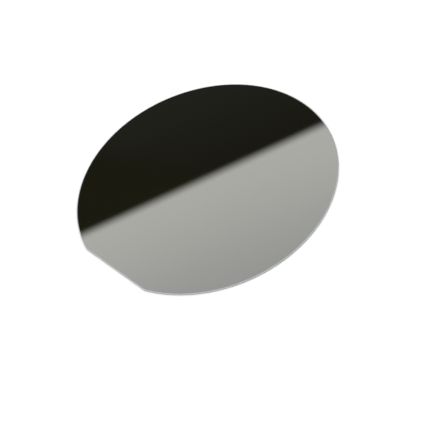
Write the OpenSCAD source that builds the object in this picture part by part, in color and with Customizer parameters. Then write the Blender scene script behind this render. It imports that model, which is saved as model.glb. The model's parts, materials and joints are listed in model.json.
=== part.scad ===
// Silicon wafer: one round slice of crystal, ground round its edge, with one primary flat.
// Lengths are millimetres. The back face lies on z = 0 with the centre of the round at the
// origin, the polished face looks up +Z, and the primary flat faces -Y.

/* [Wafer] */
// Diameter across the round
wafer_d = 100; // [50:1:150]
// Thickness from the back face to the polished face
wafer_t = 0.525; // [0.42:0.005:1.2]

/* [Primary flat] */
// Length of the flat, measured as the chord that it cuts from the round
flat_len = 32.5; // [15:0.5:45]
// Radius that blends the flat into the round, seen from above
corner_r = 5; // [1:0.5:10]

/* [Ground edge] */
// Width of the bevel on each face, measured in from the rim
bevel_w = 0.35; // [0.15:0.01:0.45]
// Slope of each bevel away from its face, in degrees
bevel_angle = 22; // [10:1:30]
// Radius that blends each bevel into the straight nose between them
nose_r = 0.08; // [0.02:0.01:0.12]

/* [Hidden] */

// Facets of a full turn, for the round and its corners and for the small nose radius
turn_fn = 256;
nose_fn = 48;

wafer_r = wafer_d / 2;
flat_dist = sqrt(wafer_r ^ 2 - (flat_len / 2) ^ 2);

// Height of the end of the straight nose above the back face
nose_z = bevel_w * tan(bevel_angle) + nose_r * tan((90 - bevel_angle) / 2);

// Turn of each flat corner, from the flat to the round. It is a whole number of thousandths
// of a degree, so that the corner and the round end on exactly the same plane.
corner_turn = thousandths(acos((flat_dist - corner_r) / (wafer_r - corner_r)));
corner_x = (wafer_r - corner_r) * sin(corner_turn);
corner_y = -(wafer_r - corner_r) * cos(corner_turn);

// How far plain stretches run into each other, so that they join as one solid
lap = 0.5;
// How far the end of a bevel sinks into the nose radius, for the same reason
bevel_lap = 0.00005;

function thousandths(v) = round(v * 1000) / 1000;

// Section through the edge, from a centre line at x = 0 out to the rim at x = reach
module edge_section(reach) {
  blend = nose_r - bevel_lap;
  blend_x = -nose_r + blend * sin(bevel_angle);
  blend_z = nose_z - blend * cos(bevel_angle);
  translate([reach, 0]) {
    polygon([
      [-reach, 0],
      [-bevel_w, 0],
      [blend_x, blend_z],
      [0, nose_z],
      [0, wafer_t - nose_z],
      [blend_x, wafer_t - blend_z],
      [-bevel_w, wafer_t],
      [-reach, wafer_t]
    ]);
    for (z = [nose_z, wafer_t - nose_z])
      translate([-nose_r, z]) circle(r = nose_r, $fn = nose_fn);
  }
}

// Puts its children at the centre of the right-hand corner's radius, first to the thousandth
// of a millimetre and then by what is left, which keeps all the digits of the place
module at_corner() {
  near = [thousandths(corner_x), thousandths(corner_y), 0];
  translate(near)
    translate([corner_x, corner_y, 0] - near)
      children();
}

// The round, from one flat corner the long way to the other
module round_edge() {
  rotate_extrude(start = corner_turn - 90, angle = 360 - 2 * corner_turn, $fn = turn_fn)
    edge_section(wafer_r);
}

// Half of the flat and the corner that ends it, drawn from the centre of the corner's radius
module flat_half() {
  rotate_extrude(start = -90, angle = corner_turn, $fn = turn_fn)
    edge_section(corner_r);
  rotate([90, 0, -90])
    linear_extrude(corner_x + lap)
      edge_section(corner_r);
}

// Plain slab that fills the wedge between the centre and the flat's two halves
module flat_web() {
  linear_extrude(wafer_t)
    polygon([
      [0, lap],
      [-corner_x - lap, corner_y],
      [-corner_x, corner_y - lap],
      [corner_x, corner_y - lap],
      [corner_x + lap, corner_y]
    ]);
}

module wafer() {
  color("#a5a69f") {
    round_edge();
    flat_web();
    for (side = [0, 1])
      mirror([side, 0, 0]) at_corner() flat_half();
  }
}

wafer();
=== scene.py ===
import json
import math

import bpy
from bpy.props import FloatProperty, FloatVectorProperty, IntProperty, PointerProperty
from mathutils import Matrix, Vector


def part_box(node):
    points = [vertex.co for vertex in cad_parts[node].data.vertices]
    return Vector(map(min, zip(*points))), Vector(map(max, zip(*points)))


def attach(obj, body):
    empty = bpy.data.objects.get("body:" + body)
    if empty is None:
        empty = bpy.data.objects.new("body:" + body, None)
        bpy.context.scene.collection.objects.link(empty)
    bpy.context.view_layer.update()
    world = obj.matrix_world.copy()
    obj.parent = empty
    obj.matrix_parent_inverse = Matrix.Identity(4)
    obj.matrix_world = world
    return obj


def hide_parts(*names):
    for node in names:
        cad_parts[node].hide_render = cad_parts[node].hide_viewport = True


bl_info = {
    "name": "Silicon wafer",
    "version": (1, 0, 0),
    "blender": (4, 5, 0),
    "location": "3D View > Sidebar > Wafer",
    "description": "Builds a polished silicon wafer with one primary flat, and a small studio round it",
    "category": "Add Mesh",
}

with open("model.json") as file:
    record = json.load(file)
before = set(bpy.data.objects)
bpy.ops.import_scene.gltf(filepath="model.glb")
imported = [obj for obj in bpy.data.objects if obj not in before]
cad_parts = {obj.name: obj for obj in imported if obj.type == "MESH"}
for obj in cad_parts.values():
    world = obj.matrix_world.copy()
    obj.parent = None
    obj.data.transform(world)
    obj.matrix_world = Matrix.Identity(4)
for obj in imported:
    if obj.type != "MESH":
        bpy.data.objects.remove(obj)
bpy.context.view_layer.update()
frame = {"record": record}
wafer_low, wafer_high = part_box("wafer")

MM = 0.001
UP = Vector((0.0, 0.0, 1.0))


def to_linear(hex_colour):
    """An sRGB colour written #RRGGBB, as linear red, green and blue."""
    def channel(start):
        value = int(hex_colour[start:start + 2], 16) / 255
        return value / 12.92 if value <= 0.04045 else ((value + 0.055) / 1.055) ** 2.4
    return tuple(channel(start) for start in (1, 3, 5))


def opaque(colour):
    """A colour with full alpha, as colour sockets want it."""
    return (*colour[:3], 1.0)


def add_node(tree, kind, settings=None, inputs=None):
    """Add one node with its settings. Each input, by name or number, takes a value, an output, a
    node, whose first output is meant, or a list of these for a socket that takes several links."""
    node = tree.nodes.new(kind)
    for name, value in (settings or {}).items():
        setattr(node, name, value)
    for name, value in (inputs or {}).items():
        for source in value if isinstance(value, list) else [value]:
            if isinstance(source, bpy.types.Node):
                source = source.outputs[0]
            if isinstance(source, bpy.types.NodeSocket):
                tree.links.new(source, node.inputs[name])
            else:
                node.inputs[name].default_value = source
    return node


def empty_material(name):
    """A material with an empty node tree, and that tree."""
    material = bpy.data.materials.new(name)
    material.use_nodes = True
    material.node_tree.nodes.clear()
    return material, material.node_tree


# ---------------------------------------------------------------------------------------------
# What a user would change: sizes, finishes and the studio
# ---------------------------------------------------------------------------------------------

MOUNTS = {mount["name"]: mount for mount in frame["record"]["mounts"]}
ROUND_RADIUS = MOUNTS["rim"]["dims"]["r_mm"] * MM
# The flat cuts a chord from the round at its own distance from the centre.
FLAT_DISTANCE = -MOUNTS["primary_flat"]["pos_m"][1]
FLAT_LENGTH = 2 * math.sqrt(ROUND_RADIUS ** 2 - FLAT_DISTANCE ** 2)


class WaferSizes(bpy.types.PropertyGroup):
    """Sizes of the slice and of its ground edge."""

    diameter: FloatProperty(
        name="Diameter", description="Across the round",
        default=2 * ROUND_RADIUS, unit="LENGTH", precision=5)
    thickness: FloatProperty(
        name="Thickness", description="From the etched back to the polished front",
        default=wafer_high.z - wafer_low.z, unit="LENGTH", precision=6)
    flat_length: FloatProperty(
        name="Flat length", description="Chord that the primary flat cuts from the round",
        default=FLAT_LENGTH, unit="LENGTH", precision=5)
    corner_radius: FloatProperty(
        name="Corner radius", description="Blends each end of the flat into the round",
        default=5 * MM, unit="LENGTH", precision=5)
    bevel_width: FloatProperty(
        name="Bevel width", description="From the rim in to the front and the back face",
        default=0.35 * MM, unit="LENGTH", precision=6)
    bevel_angle: FloatProperty(
        name="Bevel angle", description="Slope of each bevel away from its face",
        default=math.radians(22), subtype="ANGLE", unit="ROTATION")
    nose_radius: FloatProperty(
        name="Nose radius", description="Blends each bevel into the upright nose of the rim",
        default=0.08 * MM, unit="LENGTH", precision=6)
    round_points: IntProperty(
        name="Round points", description="Points of the outline along the round", default=720)
    corner_points: IntProperty(
        name="Corner points", description="Points of the outline along each corner", default=15)
    nose_steps: IntProperty(
        name="Nose steps", description="Steps of the profile along each nose radius", default=8)


class WaferFinish(bpy.types.PropertyGroup):
    """Colours of the three finishes that the one slice of silicon has."""

    polished: FloatVectorProperty(
        name="Polished face", description="Grey of the mirror-polished front",
        default=to_linear("#A9AAA5"), size=3, subtype="COLOR", min=0, max=1)
    polished_warm: FloatVectorProperty(
        name="Polished face, warmer", description="Slightly warmer grey that drifts across the front",
        default=to_linear("#ABAAA3"), size=3, subtype="COLOR", min=0, max=1)
    ground: FloatVectorProperty(
        name="Ground edge", description="Cool grey of the wheel-ground rim",
        default=to_linear("#B0B6B8"), size=3, subtype="COLOR", min=0, max=1)
    # Painted shade: the darker grey that the rim takes in the grooves of its wheel marks.
    ground_groove_shade: FloatVectorProperty(
        name="Ground edge, marks", description="Darker grey in the wheel marks of the rim",
        default=to_linear("#959B9D"), size=3, subtype="COLOR", min=0, max=1)
    etched: FloatVectorProperty(
        name="Etched back", description="Satin grey of the etched back",
        default=to_linear("#A2A5A6"), size=3, subtype="COLOR", min=0, max=1)
    # Darker grey of the back. Half of it follows random clouds, and half is painted shade in the etch
    # pits.
    etched_mottle_and_pit_shade: FloatVectorProperty(
        name="Etched back, pits", description="Darker grey in the etch pits of the back",
        default=to_linear("#8B8E90"), size=3, subtype="COLOR", min=0, max=1)


class StudioSettings(bpy.types.PropertyGroup):
    """The camera, the floor, the glows of the dome, and the dark cards that the polished face
    mirrors."""

    camera_distance: FloatProperty(
        name="Camera distance", description="From the aim point to the camera",
        default=0.7, unit="LENGTH")
    camera_azimuth: FloatProperty(
        name="Camera azimuth",
        description="Turn round the wafer, counter-clockwise from the side of the flat",
        default=math.radians(62.91), subtype="ANGLE", unit="ROTATION")
    camera_elevation: FloatProperty(
        name="Camera elevation", description="Height of the camera above the floor, as an angle",
        default=math.radians(47.93), subtype="ANGLE", unit="ROTATION")
    camera_roll: FloatProperty(
        name="Camera roll", description="Turn of the picture about the line of sight",
        default=math.radians(22.31), subtype="ANGLE", unit="ROTATION")
    camera_lens: FloatProperty(
        name="Lens", description="Focal length in millimetres, on a frame 36 mm wide",
        default=163.1, unit="CAMERA")
    floor_colour: FloatVectorProperty(
        name="Floor", description="Matt pale floor",
        default=to_linear("#E6E6E4"), size=3, subtype="COLOR", min=0, max=1)
    card_top: FloatVectorProperty(
        name="Dark cards, top", description="Colour of each card along its top edge",
        default=to_linear("#2A2820"), size=3, subtype="COLOR", min=0, max=1)
    card_foot: FloatVectorProperty(
        name="Dark cards, foot",
        description="Colour of each card lower down, as if the floor lit it",
        default=to_linear("#41453E"), size=3, subtype="COLOR", min=0, max=1)
    card_corner: FloatVectorProperty(
        name="Dark cards, corner",
        description="Olive that each card turns to in its top left corner, seen from the wafer",
        default=to_linear("#2E2D1F"), size=3, subtype="COLOR", min=0, max=1)
    flat_glow: FloatProperty(
        name="Glow beside the flat",
        description="Brightness of the glow that the flat's bevel mirrors to the camera",
        default=0.65)
    right_glow: FloatProperty(
        name="Glow at the right",
        description="Brightness of the glow to the right of the camera",
        default=0.3)


# ---------------------------------------------------------------------------------------------
# Materials
# ---------------------------------------------------------------------------------------------

# Sizes of the patterns in the finishes.
TINT_DRIFT = 30 * MM
HAZE_PATCH = 12 * MM
# Wheel marks are 10 to 20 micrometres apart; they are drawn 40 apart so that they show close up.
WHEEL_MARK_GAP = 0.04 * MM
WHEEL_MARK_LENGTH = 4 * MM
WHEEL_MARK_DEPTH = 0.004 * MM
# Etch pits are 20 to 50 micrometres across; they are drawn 0.25 mm across so that they show.
ETCH_PIT = 0.25 * MM
ETCH_PIT_DEPTH = 0.01 * MM
ETCH_CLOUD = 9 * MM

# Least and most roughness of each finish.
POLISHED_ROUGHNESS = (0.008, 0.025)
GROUND_ROUGHNESS = (0.30, 0.42)
ETCHED_ROUGHNESS = (0.28, 0.42)

# In a Mix node, inputs 2 and 3 are its two numbers and output 0 their mix; inputs 6 and 7 are its
# two colours and output 2 their mix.


def silicon(name):
    """A material that starts as bare silicon, with its node tree, shader and Object coordinates."""
    material, tree = empty_material(name)
    # Bare silicon is opaque and as shiny as a metal, so it is made as one.
    shader = add_node(tree, "ShaderNodeBsdfPrincipled", inputs={"Metallic": 1.0})
    add_node(tree, "ShaderNodeOutputMaterial", inputs={"Surface": shader})
    place = add_node(tree, "ShaderNodeTexCoord").outputs["Object"]
    return material, tree, shader, place


def polished_silicon(finish):
    """Silicon polished chemically and mechanically: a clear grey mirror. The eye sees what it
    mirrors, at two fifths of its brightness, with a hint of haze and a slow drift of tint."""
    material, tree, shader, place = silicon("polished_silicon")
    drift = add_node(tree, "ShaderNodeTexNoise", {"noise_dimensions": "3D"},
                     {"Vector": place, "Scale": 1 / TINT_DRIFT, "Detail": 1.0, "Roughness": 0.4})
    tint = add_node(tree, "ShaderNodeMix", {"data_type": "RGBA"},
                    {"Factor": drift, 6: opaque(finish.polished), 7: opaque(finish.polished_warm)})
    tree.links.new(tint.outputs[2], shader.inputs["Base Color"])
    haze = add_node(tree, "ShaderNodeTexNoise", {"noise_dimensions": "3D"},
                    {"Vector": place, "Scale": 1 / HAZE_PATCH, "Detail": 3.0, "Roughness": 0.5})
    blur = add_node(tree, "ShaderNodeMapRange",
                    inputs={"Value": haze,
                            "To Min": POLISHED_ROUGHNESS[0], "To Max": POLISHED_ROUGHNESS[1]})
    tree.links.new(blur.outputs[0], shader.inputs["Roughness"])
    return material


def ground_silicon(finish):
    """Silicon ground by a diamond wheel: a satin grey rim that catches the light as one soft line,
    with fine marks that run round the rim."""
    material, tree, shader, place = silicon("ground_silicon")
    # The marks are long in the plane of the slice and close together through its thickness.
    stretch = add_node(tree, "ShaderNodeMapping",
                       inputs={"Vector": place,
                               "Scale": (1 / WHEEL_MARK_LENGTH, 1 / WHEEL_MARK_LENGTH,
                                         1 / WHEEL_MARK_GAP)})
    noise = add_node(tree, "ShaderNodeTexNoise", {"noise_dimensions": "3D"},
                     {"Vector": stretch, "Scale": 1.0, "Detail": 3.0, "Roughness": 0.6})
    marks = add_node(tree, "ShaderNodeMapRange",
                     inputs={"Value": noise, "From Min": 0.3, "From Max": 0.7})
    # Painted shade: where the marks sink as grooves in the bump, the rim's grey turns darker.
    tint = add_node(tree, "ShaderNodeMix", {"data_type": "RGBA"},
                    {"Factor": marks, 6: opaque(finish.ground_groove_shade), 7: opaque(finish.ground)})
    tree.links.new(tint.outputs[2], shader.inputs["Base Color"])
    blur = add_node(tree, "ShaderNodeMapRange",
                    inputs={"Value": marks,
                            "To Min": GROUND_ROUGHNESS[0], "To Max": GROUND_ROUGHNESS[1]})
    tree.links.new(blur.outputs[0], shader.inputs["Roughness"])
    grooves = add_node(tree, "ShaderNodeBump",
                       inputs={"Height": marks, "Strength": 0.25, "Distance": WHEEL_MARK_DEPTH})
    tree.links.new(grooves.outputs[0], shader.inputs["Normal"])
    return material


def etched_silicon(finish):
    """Silicon etched in acid after lapping: a satin grey back with shallow rounded pits, like a fine
    orange peel, that breaks any reflection into a soft sheen."""
    material, tree, shader, place = silicon("etched_silicon")
    pits = add_node(tree, "ShaderNodeTexVoronoi", {"feature": "SMOOTH_F1"},
                    {"Vector": place, "Scale": 1 / ETCH_PIT, "Smoothness": 0.6})
    clouds = add_node(tree, "ShaderNodeTexNoise", {"noise_dimensions": "3D"},
                      {"Vector": place, "Scale": 1 / ETCH_CLOUD, "Detail": 3.0})
    # Half of the back's darker grey follows random clouds. The other half is painted shade in the pits,
    # where the bump sinks.
    mottle = add_node(tree, "ShaderNodeMix", {"data_type": "FLOAT"},
                      {"Factor": 0.5, 2: clouds, 3: pits})
    tint = add_node(tree, "ShaderNodeMix", {"data_type": "RGBA"},
                    {"Factor": mottle, 6: opaque(finish.etched_mottle_and_pit_shade), 7: opaque(finish.etched)})
    tree.links.new(tint.outputs[2], shader.inputs["Base Color"])
    blur = add_node(tree, "ShaderNodeMapRange",
                    inputs={"Value": mottle,
                            "To Min": ETCHED_ROUGHNESS[0], "To Max": ETCHED_ROUGHNESS[1]})
    tree.links.new(blur.outputs[0], shader.inputs["Roughness"])
    peel = add_node(tree, "ShaderNodeBump",
                    inputs={"Height": pits, "Strength": 0.5, "Distance": ETCH_PIT_DEPTH})
    tree.links.new(peel.outputs[0], shader.inputs["Normal"])
    return material


# ---------------------------------------------------------------------------------------------
# The slice
# ---------------------------------------------------------------------------------------------

SLICE_INPUTS = (
    ("Diameter", "NodeSocketFloat"),
    ("Thickness", "NodeSocketFloat"),
    ("Flat Length", "NodeSocketFloat"),
    ("Corner Radius", "NodeSocketFloat"),
    ("Bevel Width", "NodeSocketFloat"),
    ("Bevel Angle", "NodeSocketFloat"),
    ("Nose Radius", "NodeSocketFloat"),
    ("Round Points", "NodeSocketInt"),
    ("Corner Points", "NodeSocketInt"),
    ("Nose Steps", "NodeSocketInt"),
    ("Front", "NodeSocketMaterial"),
    ("Edge", "NodeSocketMaterial"),
    ("Back", "NodeSocketMaterial"),
)
# Points closer than this are one point. It is under a tenth of the profile's smallest step.
SAME_POINT = 0.001 * MM


def outline(tree, sizes):
    """Nodes for the outline of the rim, counter-clockwise: the round, then a corner, the flat and
    the other corner. The flat is the straight stretch that joins the two corners."""
    math_node = "ShaderNodeMath"
    radius = add_node(tree, math_node, {"operation": "MULTIPLY"}, {0: sizes["Diameter"], 1: 0.5})
    half_flat = add_node(tree, math_node, {"operation": "MULTIPLY"},
                         {0: sizes["Flat Length"], 1: 0.5})
    radius_squared = add_node(tree, math_node, {"operation": "MULTIPLY"}, {0: radius, 1: radius})
    half_squared = add_node(tree, math_node, {"operation": "MULTIPLY"}, {0: half_flat, 1: half_flat})
    left_over = add_node(tree, math_node, {"operation": "SUBTRACT"},
                         {0: radius_squared, 1: half_squared})
    flat_distance = add_node(tree, math_node, {"operation": "SQRT"}, {0: left_over})

    # The corner's centre lies its own radius inside both the flat and the round.
    corner = sizes["Corner Radius"]
    inside_round = add_node(tree, math_node, {"operation": "SUBTRACT"}, {0: radius, 1: corner})
    inside_flat = add_node(tree, math_node, {"operation": "SUBTRACT"}, {0: flat_distance, 1: corner})
    share = add_node(tree, math_node, {"operation": "DIVIDE"}, {0: inside_flat, 1: inside_round})
    turn = add_node(tree, math_node, {"operation": "ARCCOSINE"}, {0: share})
    sine = add_node(tree, math_node, {"operation": "SINE"}, {0: turn})
    corner_x = add_node(tree, math_node, {"operation": "MULTIPLY"}, {0: inside_round, 1: sine})
    minus_x = add_node(tree, math_node, {"operation": "MULTIPLY"}, {0: corner_x, 1: -1.0})
    corner_y = add_node(tree, math_node, {"operation": "MULTIPLY"}, {0: inside_flat, 1: -1.0})

    quarter = math.pi / 2
    round_start = add_node(tree, math_node, {"operation": "SUBTRACT"}, {0: turn, 1: quarter})
    left_start = add_node(tree, math_node, {"operation": "SUBTRACT"}, {0: -quarter, 1: turn})
    round_sweep = add_node(tree, math_node, {"operation": "MULTIPLY_ADD"},
                           {0: turn, 1: -2.0, 2: 2 * math.pi})
    the_round = add_node(tree, "GeometryNodeCurveArc", {"mode": "RADIUS"},
                         {"Resolution": sizes["Round Points"], "Radius": radius,
                          "Start Angle": round_start, "Sweep Angle": round_sweep})
    arcs = [the_round]
    for centre_x, start in ((corner_x, -quarter), (minus_x, left_start)):
        arc = add_node(tree, "GeometryNodeCurveArc", {"mode": "RADIUS"},
                       {"Resolution": sizes["Corner Points"], "Radius": corner,
                        "Start Angle": start, "Sweep Angle": turn})
        centre = add_node(tree, "ShaderNodeCombineXYZ", inputs={"X": centre_x, "Y": corner_y})
        arcs.append(add_node(tree, "GeometryNodeTransform",
                             inputs={"Geometry": arc, "Translation": centre}))

    # The three arcs become one closed line by way of their points, put in order round the centre.
    together = add_node(tree, "GeometryNodeJoinGeometry", inputs={"Geometry": arcs})
    points = add_node(tree, "GeometryNodeCurveToPoints", {"mode": "EVALUATED"}, {"Curve": together})
    single = add_node(tree, "GeometryNodeMergeByDistance",
                      inputs={"Geometry": points, "Distance": SAME_POINT})
    position = add_node(tree, "GeometryNodeInputPosition")
    parts = add_node(tree, "ShaderNodeSeparateXYZ", inputs={"Vector": position})
    angle = add_node(tree, math_node, {"operation": "ARCTAN2"},
                     {0: parts.outputs["Y"], 1: parts.outputs["X"]})
    line = add_node(tree, "GeometryNodePointsToCurves", inputs={"Points": single, "Weight": angle})
    closed = add_node(tree, "GeometryNodeSetSplineCyclic", inputs={"Geometry": line, "Cyclic": True})
    return add_node(tree, "GeometryNodeSetCurveNormal", {"mode": "Z_UP"}, {"Curve": closed})


def edge_profile(tree, sizes):
    """Nodes for the section through the rim, from the front down to the back. X points outwards, with
    the rim at 0, and Y points down, which is how the outline carries it."""
    math_node = "ShaderNodeMath"
    slope = add_node(tree, math_node, {"operation": "TANGENT"}, {0: sizes["Bevel Angle"]})
    drop = add_node(tree, math_node, {"operation": "MULTIPLY"}, {0: slope, 1: sizes["Bevel Width"]})
    inset = add_node(tree, math_node, {"operation": "MULTIPLY"}, {0: sizes["Bevel Width"], 1: -1.0})
    front = add_node(tree, math_node, {"operation": "MULTIPLY"}, {0: sizes["Thickness"], 1: -1.0})
    upper = add_node(tree, math_node, {"operation": "ADD"}, {0: front, 1: drop})
    lower = add_node(tree, math_node, {"operation": "MULTIPLY"}, {0: drop, 1: -1.0})
    corners = [add_node(tree, "ShaderNodeCombineXYZ", inputs={"X": x, "Y": y})
               for x, y in ((inset, front), (0.0, upper), (0.0, lower), (inset, 0.0))]
    box = add_node(tree, "GeometryNodeCurvePrimitiveQuadrilateral", {"mode": "POINTS"},
                   {"Point 1": corners[0], "Point 2": corners[1],
                    "Point 3": corners[2], "Point 4": corners[3]})
    line = add_node(tree, "GeometryNodeSetSplineCyclic", inputs={"Geometry": box, "Cyclic": False})
    return add_node(tree, "GeometryNodeFilletCurve", {"mode": "POLY"},
                    {"Curve": line, "Count": sizes["Nose Steps"], "Radius": sizes["Nose Radius"]})


def slice_tree():
    """The Geometry Nodes tree of the slice: the profile swept round the outline, closed by a flat
    front and a flat back, with one finish on each of the three."""
    tree = bpy.data.node_groups.new("wafer_slice", "GeometryNodeTree")
    for name, kind in SLICE_INPUTS:
        tree.interface.new_socket(name=name, in_out="INPUT", socket_type=kind)
    tree.interface.new_socket(name="Geometry", in_out="OUTPUT", socket_type="NodeSocketGeometry")
    sizes = add_node(tree, "NodeGroupInput").outputs

    rim = add_node(tree, "GeometryNodeCurveToMesh",
                   inputs={"Curve": outline(tree, sizes), "Profile Curve": edge_profile(tree, sizes)})

    # What lies on the front or on the back, told by its height.
    position = add_node(tree, "GeometryNodeInputPosition")
    height = add_node(tree, "ShaderNodeSeparateXYZ", inputs={"Vector": position}).outputs["Z"]
    just_below = add_node(tree, "ShaderNodeMath", {"operation": "SUBTRACT"},
                          {0: sizes["Thickness"], 1: SAME_POINT})
    on_front = add_node(tree, "FunctionNodeCompare",
                        {"data_type": "FLOAT", "operation": "GREATER_THAN"},
                        {0: height, 1: just_below})
    on_back = add_node(tree, "FunctionNodeCompare",
                       {"data_type": "FLOAT", "operation": "LESS_THAN"},
                       {0: height, 1: SAME_POINT})

    # A filled curve lies at height 0 and looks up, so the front is lifted and the back turned over.
    faces = []
    lift = add_node(tree, "ShaderNodeCombineXYZ", inputs={"Z": sizes["Thickness"]})
    for side in (on_front, on_back):
        loop = add_node(tree, "GeometryNodeMeshToCurve", inputs={"Mesh": rim, "Selection": side})
        faces.append(add_node(tree, "GeometryNodeFillCurve", {"mode": "NGONS"}, {"Curve": loop}))
    front = add_node(tree, "GeometryNodeSetPosition",
                     inputs={"Geometry": faces[0], "Offset": lift})
    back = add_node(tree, "GeometryNodeFlipFaces", inputs={"Mesh": faces[1]})
    together = add_node(tree, "GeometryNodeJoinGeometry", inputs={"Geometry": [rim, front, back]})
    whole = add_node(tree, "GeometryNodeMergeByDistance",
                     inputs={"Geometry": together, "Distance": SAME_POINT})

    # The rim is smooth all round and meets both faces at a crisp edge, so that they stay flat.
    smooth = add_node(tree, "GeometryNodeSetShadeSmooth", {"domain": "FACE"}, {"Geometry": whole})
    on_face = add_node(tree, "FunctionNodeBooleanMath", {"operation": "OR"}, {0: on_front, 1: on_back})
    crisp = add_node(tree, "GeometryNodeSetShadeSmooth", {"domain": "EDGE"},
                     {"Geometry": smooth, "Selection": on_face, "Shade Smooth": False})

    last = add_node(tree, "GeometryNodeRealizeInstances", inputs={"Geometry": crisp})
    for selection, name in ((True, "Edge"), (on_front, "Front"), (on_back, "Back")):
        last = add_node(tree, "GeometryNodeSetMaterial",
                        inputs={"Geometry": last, "Selection": selection, "Material": sizes[name]})
    add_node(tree, "NodeGroupOutput", inputs={"Geometry": last})
    return tree


def evaluated_mesh(piece):
    """The plain mesh that a piece's modifiers give, with the modifiers then taken off."""
    depsgraph = bpy.context.evaluated_depsgraph_get()
    mesh = bpy.data.meshes.new_from_object(
        piece.evaluated_get(depsgraph), preserve_all_data_layers=True, depsgraph=depsgraph)
    # Set Material leaves an empty slot in front of its own.
    mesh.materials.pop(index=0)
    piece.modifiers.clear()
    return mesh


class WAFER_OT_add_slice(bpy.types.Operator):
    """Build the silicon slice in the place of the CAD wafer"""

    bl_idname = "wafer.add_slice"
    bl_label = "Add wafer"

    def execute(self, context):
        sizes = context.scene.wafer_sizes
        finish = context.scene.wafer_finish
        values = {
            "Diameter": sizes.diameter,
            "Thickness": sizes.thickness,
            "Flat Length": sizes.flat_length,
            "Corner Radius": sizes.corner_radius,
            "Bevel Width": sizes.bevel_width,
            "Bevel Angle": sizes.bevel_angle,
            "Nose Radius": sizes.nose_radius,
            "Round Points": sizes.round_points,
            "Corner Points": sizes.corner_points,
            "Nose Steps": sizes.nose_steps,
            "Front": polished_silicon(finish),
            "Edge": ground_silicon(finish),
            "Back": etched_silicon(finish),
        }
        piece = bpy.data.objects.new("silicon_slice", bpy.data.meshes.new("silicon_slice"))
        context.scene.collection.objects.link(piece)
        modifier = piece.modifiers.new("slice", "NODES")
        modifier.node_group = slice_tree()
        for item in modifier.node_group.interface.items_tree:
            if item.in_out == "INPUT":
                modifier[item.identifier] = values[item.name]
        piece.data = evaluated_mesh(piece)
        piece.data.name = "silicon_slice"
        if len(piece.data.materials) != 3:
            raise RuntimeError("the slice came out without its three finishes")
        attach(piece, "root")
        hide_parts("wafer")
        return {"FINISHED"}


# ---------------------------------------------------------------------------------------------
# The studio
# ---------------------------------------------------------------------------------------------

# The camera looks at this point of the back face, a little off the wafer's centre.
AIM = Vector((10.64 * MM, -7.43 * MM, 0.0))

# The camera shows nothing nearer or farther than these.
NEAREST_SEEN = 10 * MM
FARTHEST_SEEN = 100.0

# Colours of the soft dome of light, each at its height above the horizon in degrees.
DOME_COLOURS = ((0, "#ADADAD"), (8, "#ADADAD"), (34, "#D5D5D5"), (46.8, "#D6D6D6"),
                (50.8, "#BABBBF"), (54, "#BABBBF"), (66, "#FFFFFF"))
DOME_STRENGTH = 1.5

# Two dark cards stand upright on the floor, each at its bearing from +X towards +Y. The first is
# behind the wafer as the camera sees it, and the second is on the camera's side.
CARDS = (("card_behind", math.radians(152.71)), ("card_in_front", math.radians(336)))
CARD_DISTANCE = 450 * MM
# Height of the middle of the top edge, and the slope of that edge up to the right, seen from the
# wafer.
CARD_HEIGHT = 479.4 * MM
CARD_SLOPE = -0.0607
CARD_HALF_TOP = 110 * MM
CARD_HALF_FOOT = 190 * MM
# Width of the soft border along the top and the sides.
CARD_FEATHER = 12.5 * MM
# From this height down, a card has its foot colour.
CARD_FOOT_HEIGHT = 0.6 * CARD_HEIGHT
# A card turns olive in its top left corner: between these values of its height less its distance to
# the right of the card's middle.
CARD_OLIVE_START = CARD_HEIGHT - 25 * MM
CARD_OLIVE_FULL = CARD_HEIGHT + 10 * MM

# The bearing and the height of the middle of each glow in the dome. The flat's bevel mirrors the
# first to the camera, and the second is to the right of the camera.
GLOW_PLACES = ((math.radians(206), math.radians(47)), (math.radians(70), math.radians(45)))
# A glow is at its full out to the first of these angles from its middle, and ends at the second.
GLOW_CORE = math.radians(8)
GLOW_END = math.radians(32)

FLOOR_SIZE = 12.0
# About what the lit floor lacks to be white where nothing shades it.
FLOOR_LIFT = 0.13


def on_sphere(bearing, elevation):
    """The unit vector at a bearing from +X towards +Y and an elevation above the floor."""
    return Vector((math.cos(bearing) * math.cos(elevation),
                   math.sin(bearing) * math.cos(elevation),
                   math.sin(elevation)))


def stage_board(name, corners, faces):
    """A part of the stage that is made of flat faces."""
    mesh = bpy.data.meshes.new(name)
    mesh.from_pydata(corners, [], faces)
    board = bpy.data.objects.new(name, mesh)
    bpy.context.scene.collection.objects.link(board)
    return board


def add_floor(studio):
    """A wide matt board, painted pale. The camera and reflections see it lifted to white, and it
    keeps the wafer's shadow."""
    half = FLOOR_SIZE / 2
    floor = stage_board(
        "floor", [(-half, -half, 0), (half, -half, 0), (half, half, 0), (-half, half, 0)],
        [(0, 1, 2, 3)])
    material, tree = empty_material("painted_board")
    paint = add_node(tree, "ShaderNodeBsdfDiffuse", inputs={"Color": opaque(studio.floor_colour)})
    path = add_node(tree, "ShaderNodeLightPath")
    seen = add_node(tree, "ShaderNodeMath", {"operation": "MAXIMUM"},
                    {0: path.outputs["Is Camera Ray"], 1: path.outputs["Is Glossy Ray"]})
    lift = add_node(tree, "ShaderNodeMath", {"operation": "MULTIPLY"}, {0: seen, 1: FLOOR_LIFT})
    glow = add_node(tree, "ShaderNodeEmission", inputs={"Strength": lift})
    both = add_node(tree, "ShaderNodeAddShader", inputs={0: paint, 1: glow})
    add_node(tree, "ShaderNodeOutputMaterial", inputs={"Surface": both})
    floor.data.materials.append(material)


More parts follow.
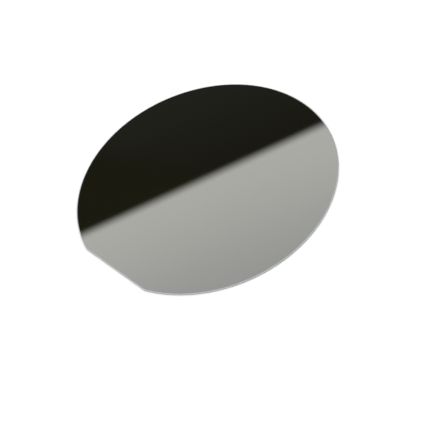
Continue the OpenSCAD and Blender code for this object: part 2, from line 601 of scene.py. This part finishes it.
def add_dark_card(studio, name, bearing):
    """A dark card that only reflections show. It is an emitting sheet that nothing lights, and its
    colour is painted light: darkest along its top, lighter lower down as if the floor lit it, and olive
    in its top left corner. It is feathered along its top and sides, as an edge far out of focus is."""
    out = on_sphere(bearing, 0.0)
    right = out.cross(UP)

    def corner(x, z):
        return out * CARD_DISTANCE + right * x + UP * z

    def ring(grow):
        """The card's four corners, with its top and sides moved out by grow."""
        top = CARD_HALF_TOP + grow
        foot = CARD_HALF_FOOT + grow
        height = CARD_HEIGHT + grow
        return [corner(-foot, 0.0), corner(-top, height - CARD_SLOPE * top),
                corner(top, height + CARD_SLOPE * top), corner(foot, 0.0)]

    inner = ring(-CARD_FEATHER / 2)
    outer = ring(CARD_FEATHER / 2)
    card = stage_board(name, inner + outer,
                       [(0, 3, 2, 1), (0, 1, 5, 4), (1, 2, 6, 5), (2, 3, 7, 6)])
    # How much of the card there is: all of it at the inner corners, nothing at the outer ones.
    cover = card.data.attributes.new("cover", "FLOAT", "POINT")
    cover.data.foreach_set("value", [1.0] * len(inner) + [0.0] * len(outer))

    material, tree = empty_material("felt_" + name)
    place = add_node(tree, "ShaderNodeTexCoord").outputs["Object"]
    height = add_node(tree, "ShaderNodeSeparateXYZ", inputs={"Vector": place}).outputs["Z"]
    # Painted light: the card's glow is darkest along its top edge and grows lighter down to its foot,
    # as if the floor lit it.
    down = add_node(tree, "ShaderNodeMapRange",
                    inputs={"Value": height,
                            "From Min": CARD_HEIGHT, "From Max": CARD_FOOT_HEIGHT})
    shade = add_node(tree, "ShaderNodeMix", {"data_type": "RGBA"},
                     {"Factor": down, 6: opaque(studio.card_top), 7: opaque(studio.card_foot)})
    slant = add_node(tree, "ShaderNodeVectorMath", {"operation": "DOT_PRODUCT"},
                     {0: place, 1: UP - right})
    olive = add_node(tree, "ShaderNodeMapRange",
                     inputs={"Value": slant.outputs["Value"],
                             "From Min": CARD_OLIVE_START, "From Max": CARD_OLIVE_FULL})
    tint = add_node(tree, "ShaderNodeMix", {"data_type": "RGBA"},
                    {"Factor": olive, 6: shade.outputs[2], 7: opaque(studio.card_corner)})
    # The card lights nothing and no lamp lights it. This glow, with its painted shading and olive
    # corner, is all that reflections see of it.
    painted_glow = add_node(tree, "ShaderNodeEmission", inputs={"Color": tint.outputs[2]})
    edge = add_node(tree, "ShaderNodeAttribute", {"attribute_name": "cover"})
    feather = add_node(tree, "ShaderNodeMapRange", {"interpolation_type": "SMOOTHSTEP"},
                       {"Value": edge.outputs["Fac"]})
    clear = add_node(tree, "ShaderNodeBsdfTransparent")
    mixed = add_node(tree, "ShaderNodeMixShader", inputs={0: feather, 1: clear, 2: painted_glow})
    add_node(tree, "ShaderNodeOutputMaterial", inputs={"Surface": mixed})
    card.data.materials.append(material)
    for ray in ("camera", "diffuse", "transmission", "volume_scatter", "shadow"):
        setattr(card, "visible_" + ray, False)


def add_dome(studio):
    """The world: a soft white dome with two soft glows in it, and plain white behind the scene."""
    world = bpy.data.worlds.new("soft_dome")
    bpy.context.scene.world = world
    world.use_nodes = True
    tree = world.node_tree
    tree.nodes.clear()
    direction = add_node(tree, "ShaderNodeTexCoord").outputs["Generated"]
    height = add_node(tree, "ShaderNodeSeparateXYZ", inputs={"Vector": direction}).outputs["Z"]
    colours = add_node(tree, "ShaderNodeValToRGB", inputs={"Fac": height})
    colours.color_ramp.interpolation = "EASE"
    # A new ramp has two stops already.
    stops = colours.color_ramp.elements
    for number, (degrees, colour) in enumerate(DOME_COLOURS):
        stop = stops[number] if number < 2 else stops.new(1.0)
        stop.position = math.sin(math.radians(degrees))
        stop.color = opaque(to_linear(colour))
    light = add_node(tree, "ShaderNodeBackground",
                     inputs={"Color": colours, "Strength": DOME_STRENGTH})
    for place, brightness in zip(GLOW_PLACES, (studio.flat_glow, studio.right_glow)):
        nearness = add_node(tree, "ShaderNodeVectorMath", {"operation": "DOT_PRODUCT"},
                            {0: direction, 1: on_sphere(*place)})
        strength = add_node(tree, "ShaderNodeMapRange", {"interpolation_type": "SMOOTHSTEP"},
                            {"Value": nearness.outputs["Value"], "From Min": math.cos(GLOW_END),
                             "From Max": math.cos(GLOW_CORE), "To Max": brightness})
        glow = add_node(tree, "ShaderNodeBackground",
                        inputs={"Color": opaque((1.0, 1.0, 1.0)), "Strength": strength})
        light = add_node(tree, "ShaderNodeAddShader", inputs={0: light, 1: glow})
    white = add_node(tree, "ShaderNodeBackground",
                     inputs={"Color": opaque((1.0, 1.0, 1.0)), "Strength": 1.0})
    path = add_node(tree, "ShaderNodeLightPath")
    seen = add_node(tree, "ShaderNodeMixShader",
                    inputs={0: path.outputs["Is Camera Ray"], 1: light, 2: white})
    add_node(tree, "ShaderNodeOutputWorld", inputs={"Surface": seen})


def add_camera(studio):
    """The camera, placed by its azimuth, elevation and distance from the aim point, then rolled."""
    data = bpy.data.cameras.new("camera")
    data.lens = studio.camera_lens
    data.clip_start = NEAREST_SEEN
    data.clip_end = FARTHEST_SEEN
    camera = bpy.data.objects.new("camera", data)
    # The flat looks along -Y, a quarter turn back from +X.
    back = on_sphere(studio.camera_azimuth - math.pi / 2, studio.camera_elevation)
    level = UP.cross(back).normalized()
    upright = Matrix((level, back.cross(level), back)).transposed()
    roll = Matrix.Rotation(-studio.camera_roll, 3, "Z")
    place = Matrix.Translation(AIM + back * studio.camera_distance)
    camera.matrix_world = place @ (upright @ roll).to_4x4()
    bpy.context.scene.collection.objects.link(camera)
    bpy.context.scene.camera = camera


class WAFER_OT_add_studio(bpy.types.Operator):
    """Build the floor, the two dark cards, the light and the camera"""

    bl_idname = "wafer.add_studio"
    bl_label = "Add studio"

    def execute(self, context):
        studio = context.scene.wafer_studio
        add_floor(studio)
        for name, bearing in CARDS:
            add_dark_card(studio, name, bearing)
        add_dome(studio)
        add_camera(studio)
        context.scene.view_settings.view_transform = "Standard"
        return {"FINISHED"}


class WAFER_PT_sidebar(bpy.types.Panel):
    """Sizes and finishes of the wafer, and the steps that build it"""

    bl_idname = "WAFER_PT_sidebar"
    bl_label = "Silicon wafer"
    bl_space_type = "VIEW_3D"
    bl_region_type = "UI"
    bl_category = "Wafer"

    def draw(self, context):
        scene = context.scene
        steps = (
            (scene.wafer_sizes, WAFER_OT_add_slice),
            (scene.wafer_finish, None),
            (scene.wafer_studio, WAFER_OT_add_studio),
        )
        for group, operator in steps:
            box = self.layout.box()
            for name in group.__annotations__:
                box.prop(group, name)
            if operator:
                box.operator(operator.bl_idname)


CLASSES = (
    WaferSizes,
    WaferFinish,
    StudioSettings,
    WAFER_OT_add_slice,
    WAFER_OT_add_studio,
    WAFER_PT_sidebar,
)


def register():
    for cls in CLASSES:
        bpy.utils.register_class(cls)
    bpy.types.Scene.wafer_sizes = PointerProperty(type=WaferSizes)
    bpy.types.Scene.wafer_finish = PointerProperty(type=WaferFinish)
    bpy.types.Scene.wafer_studio = PointerProperty(type=StudioSettings)


def unregister():
    del bpy.types.Scene.wafer_studio
    del bpy.types.Scene.wafer_finish
    del bpy.types.Scene.wafer_sizes
    for cls in reversed(CLASSES):
        bpy.utils.unregister_class(cls)


def main():
    register()
    bpy.ops.wafer.add_slice()
    bpy.ops.wafer.add_studio()


if __name__ == "__main__":
    main()
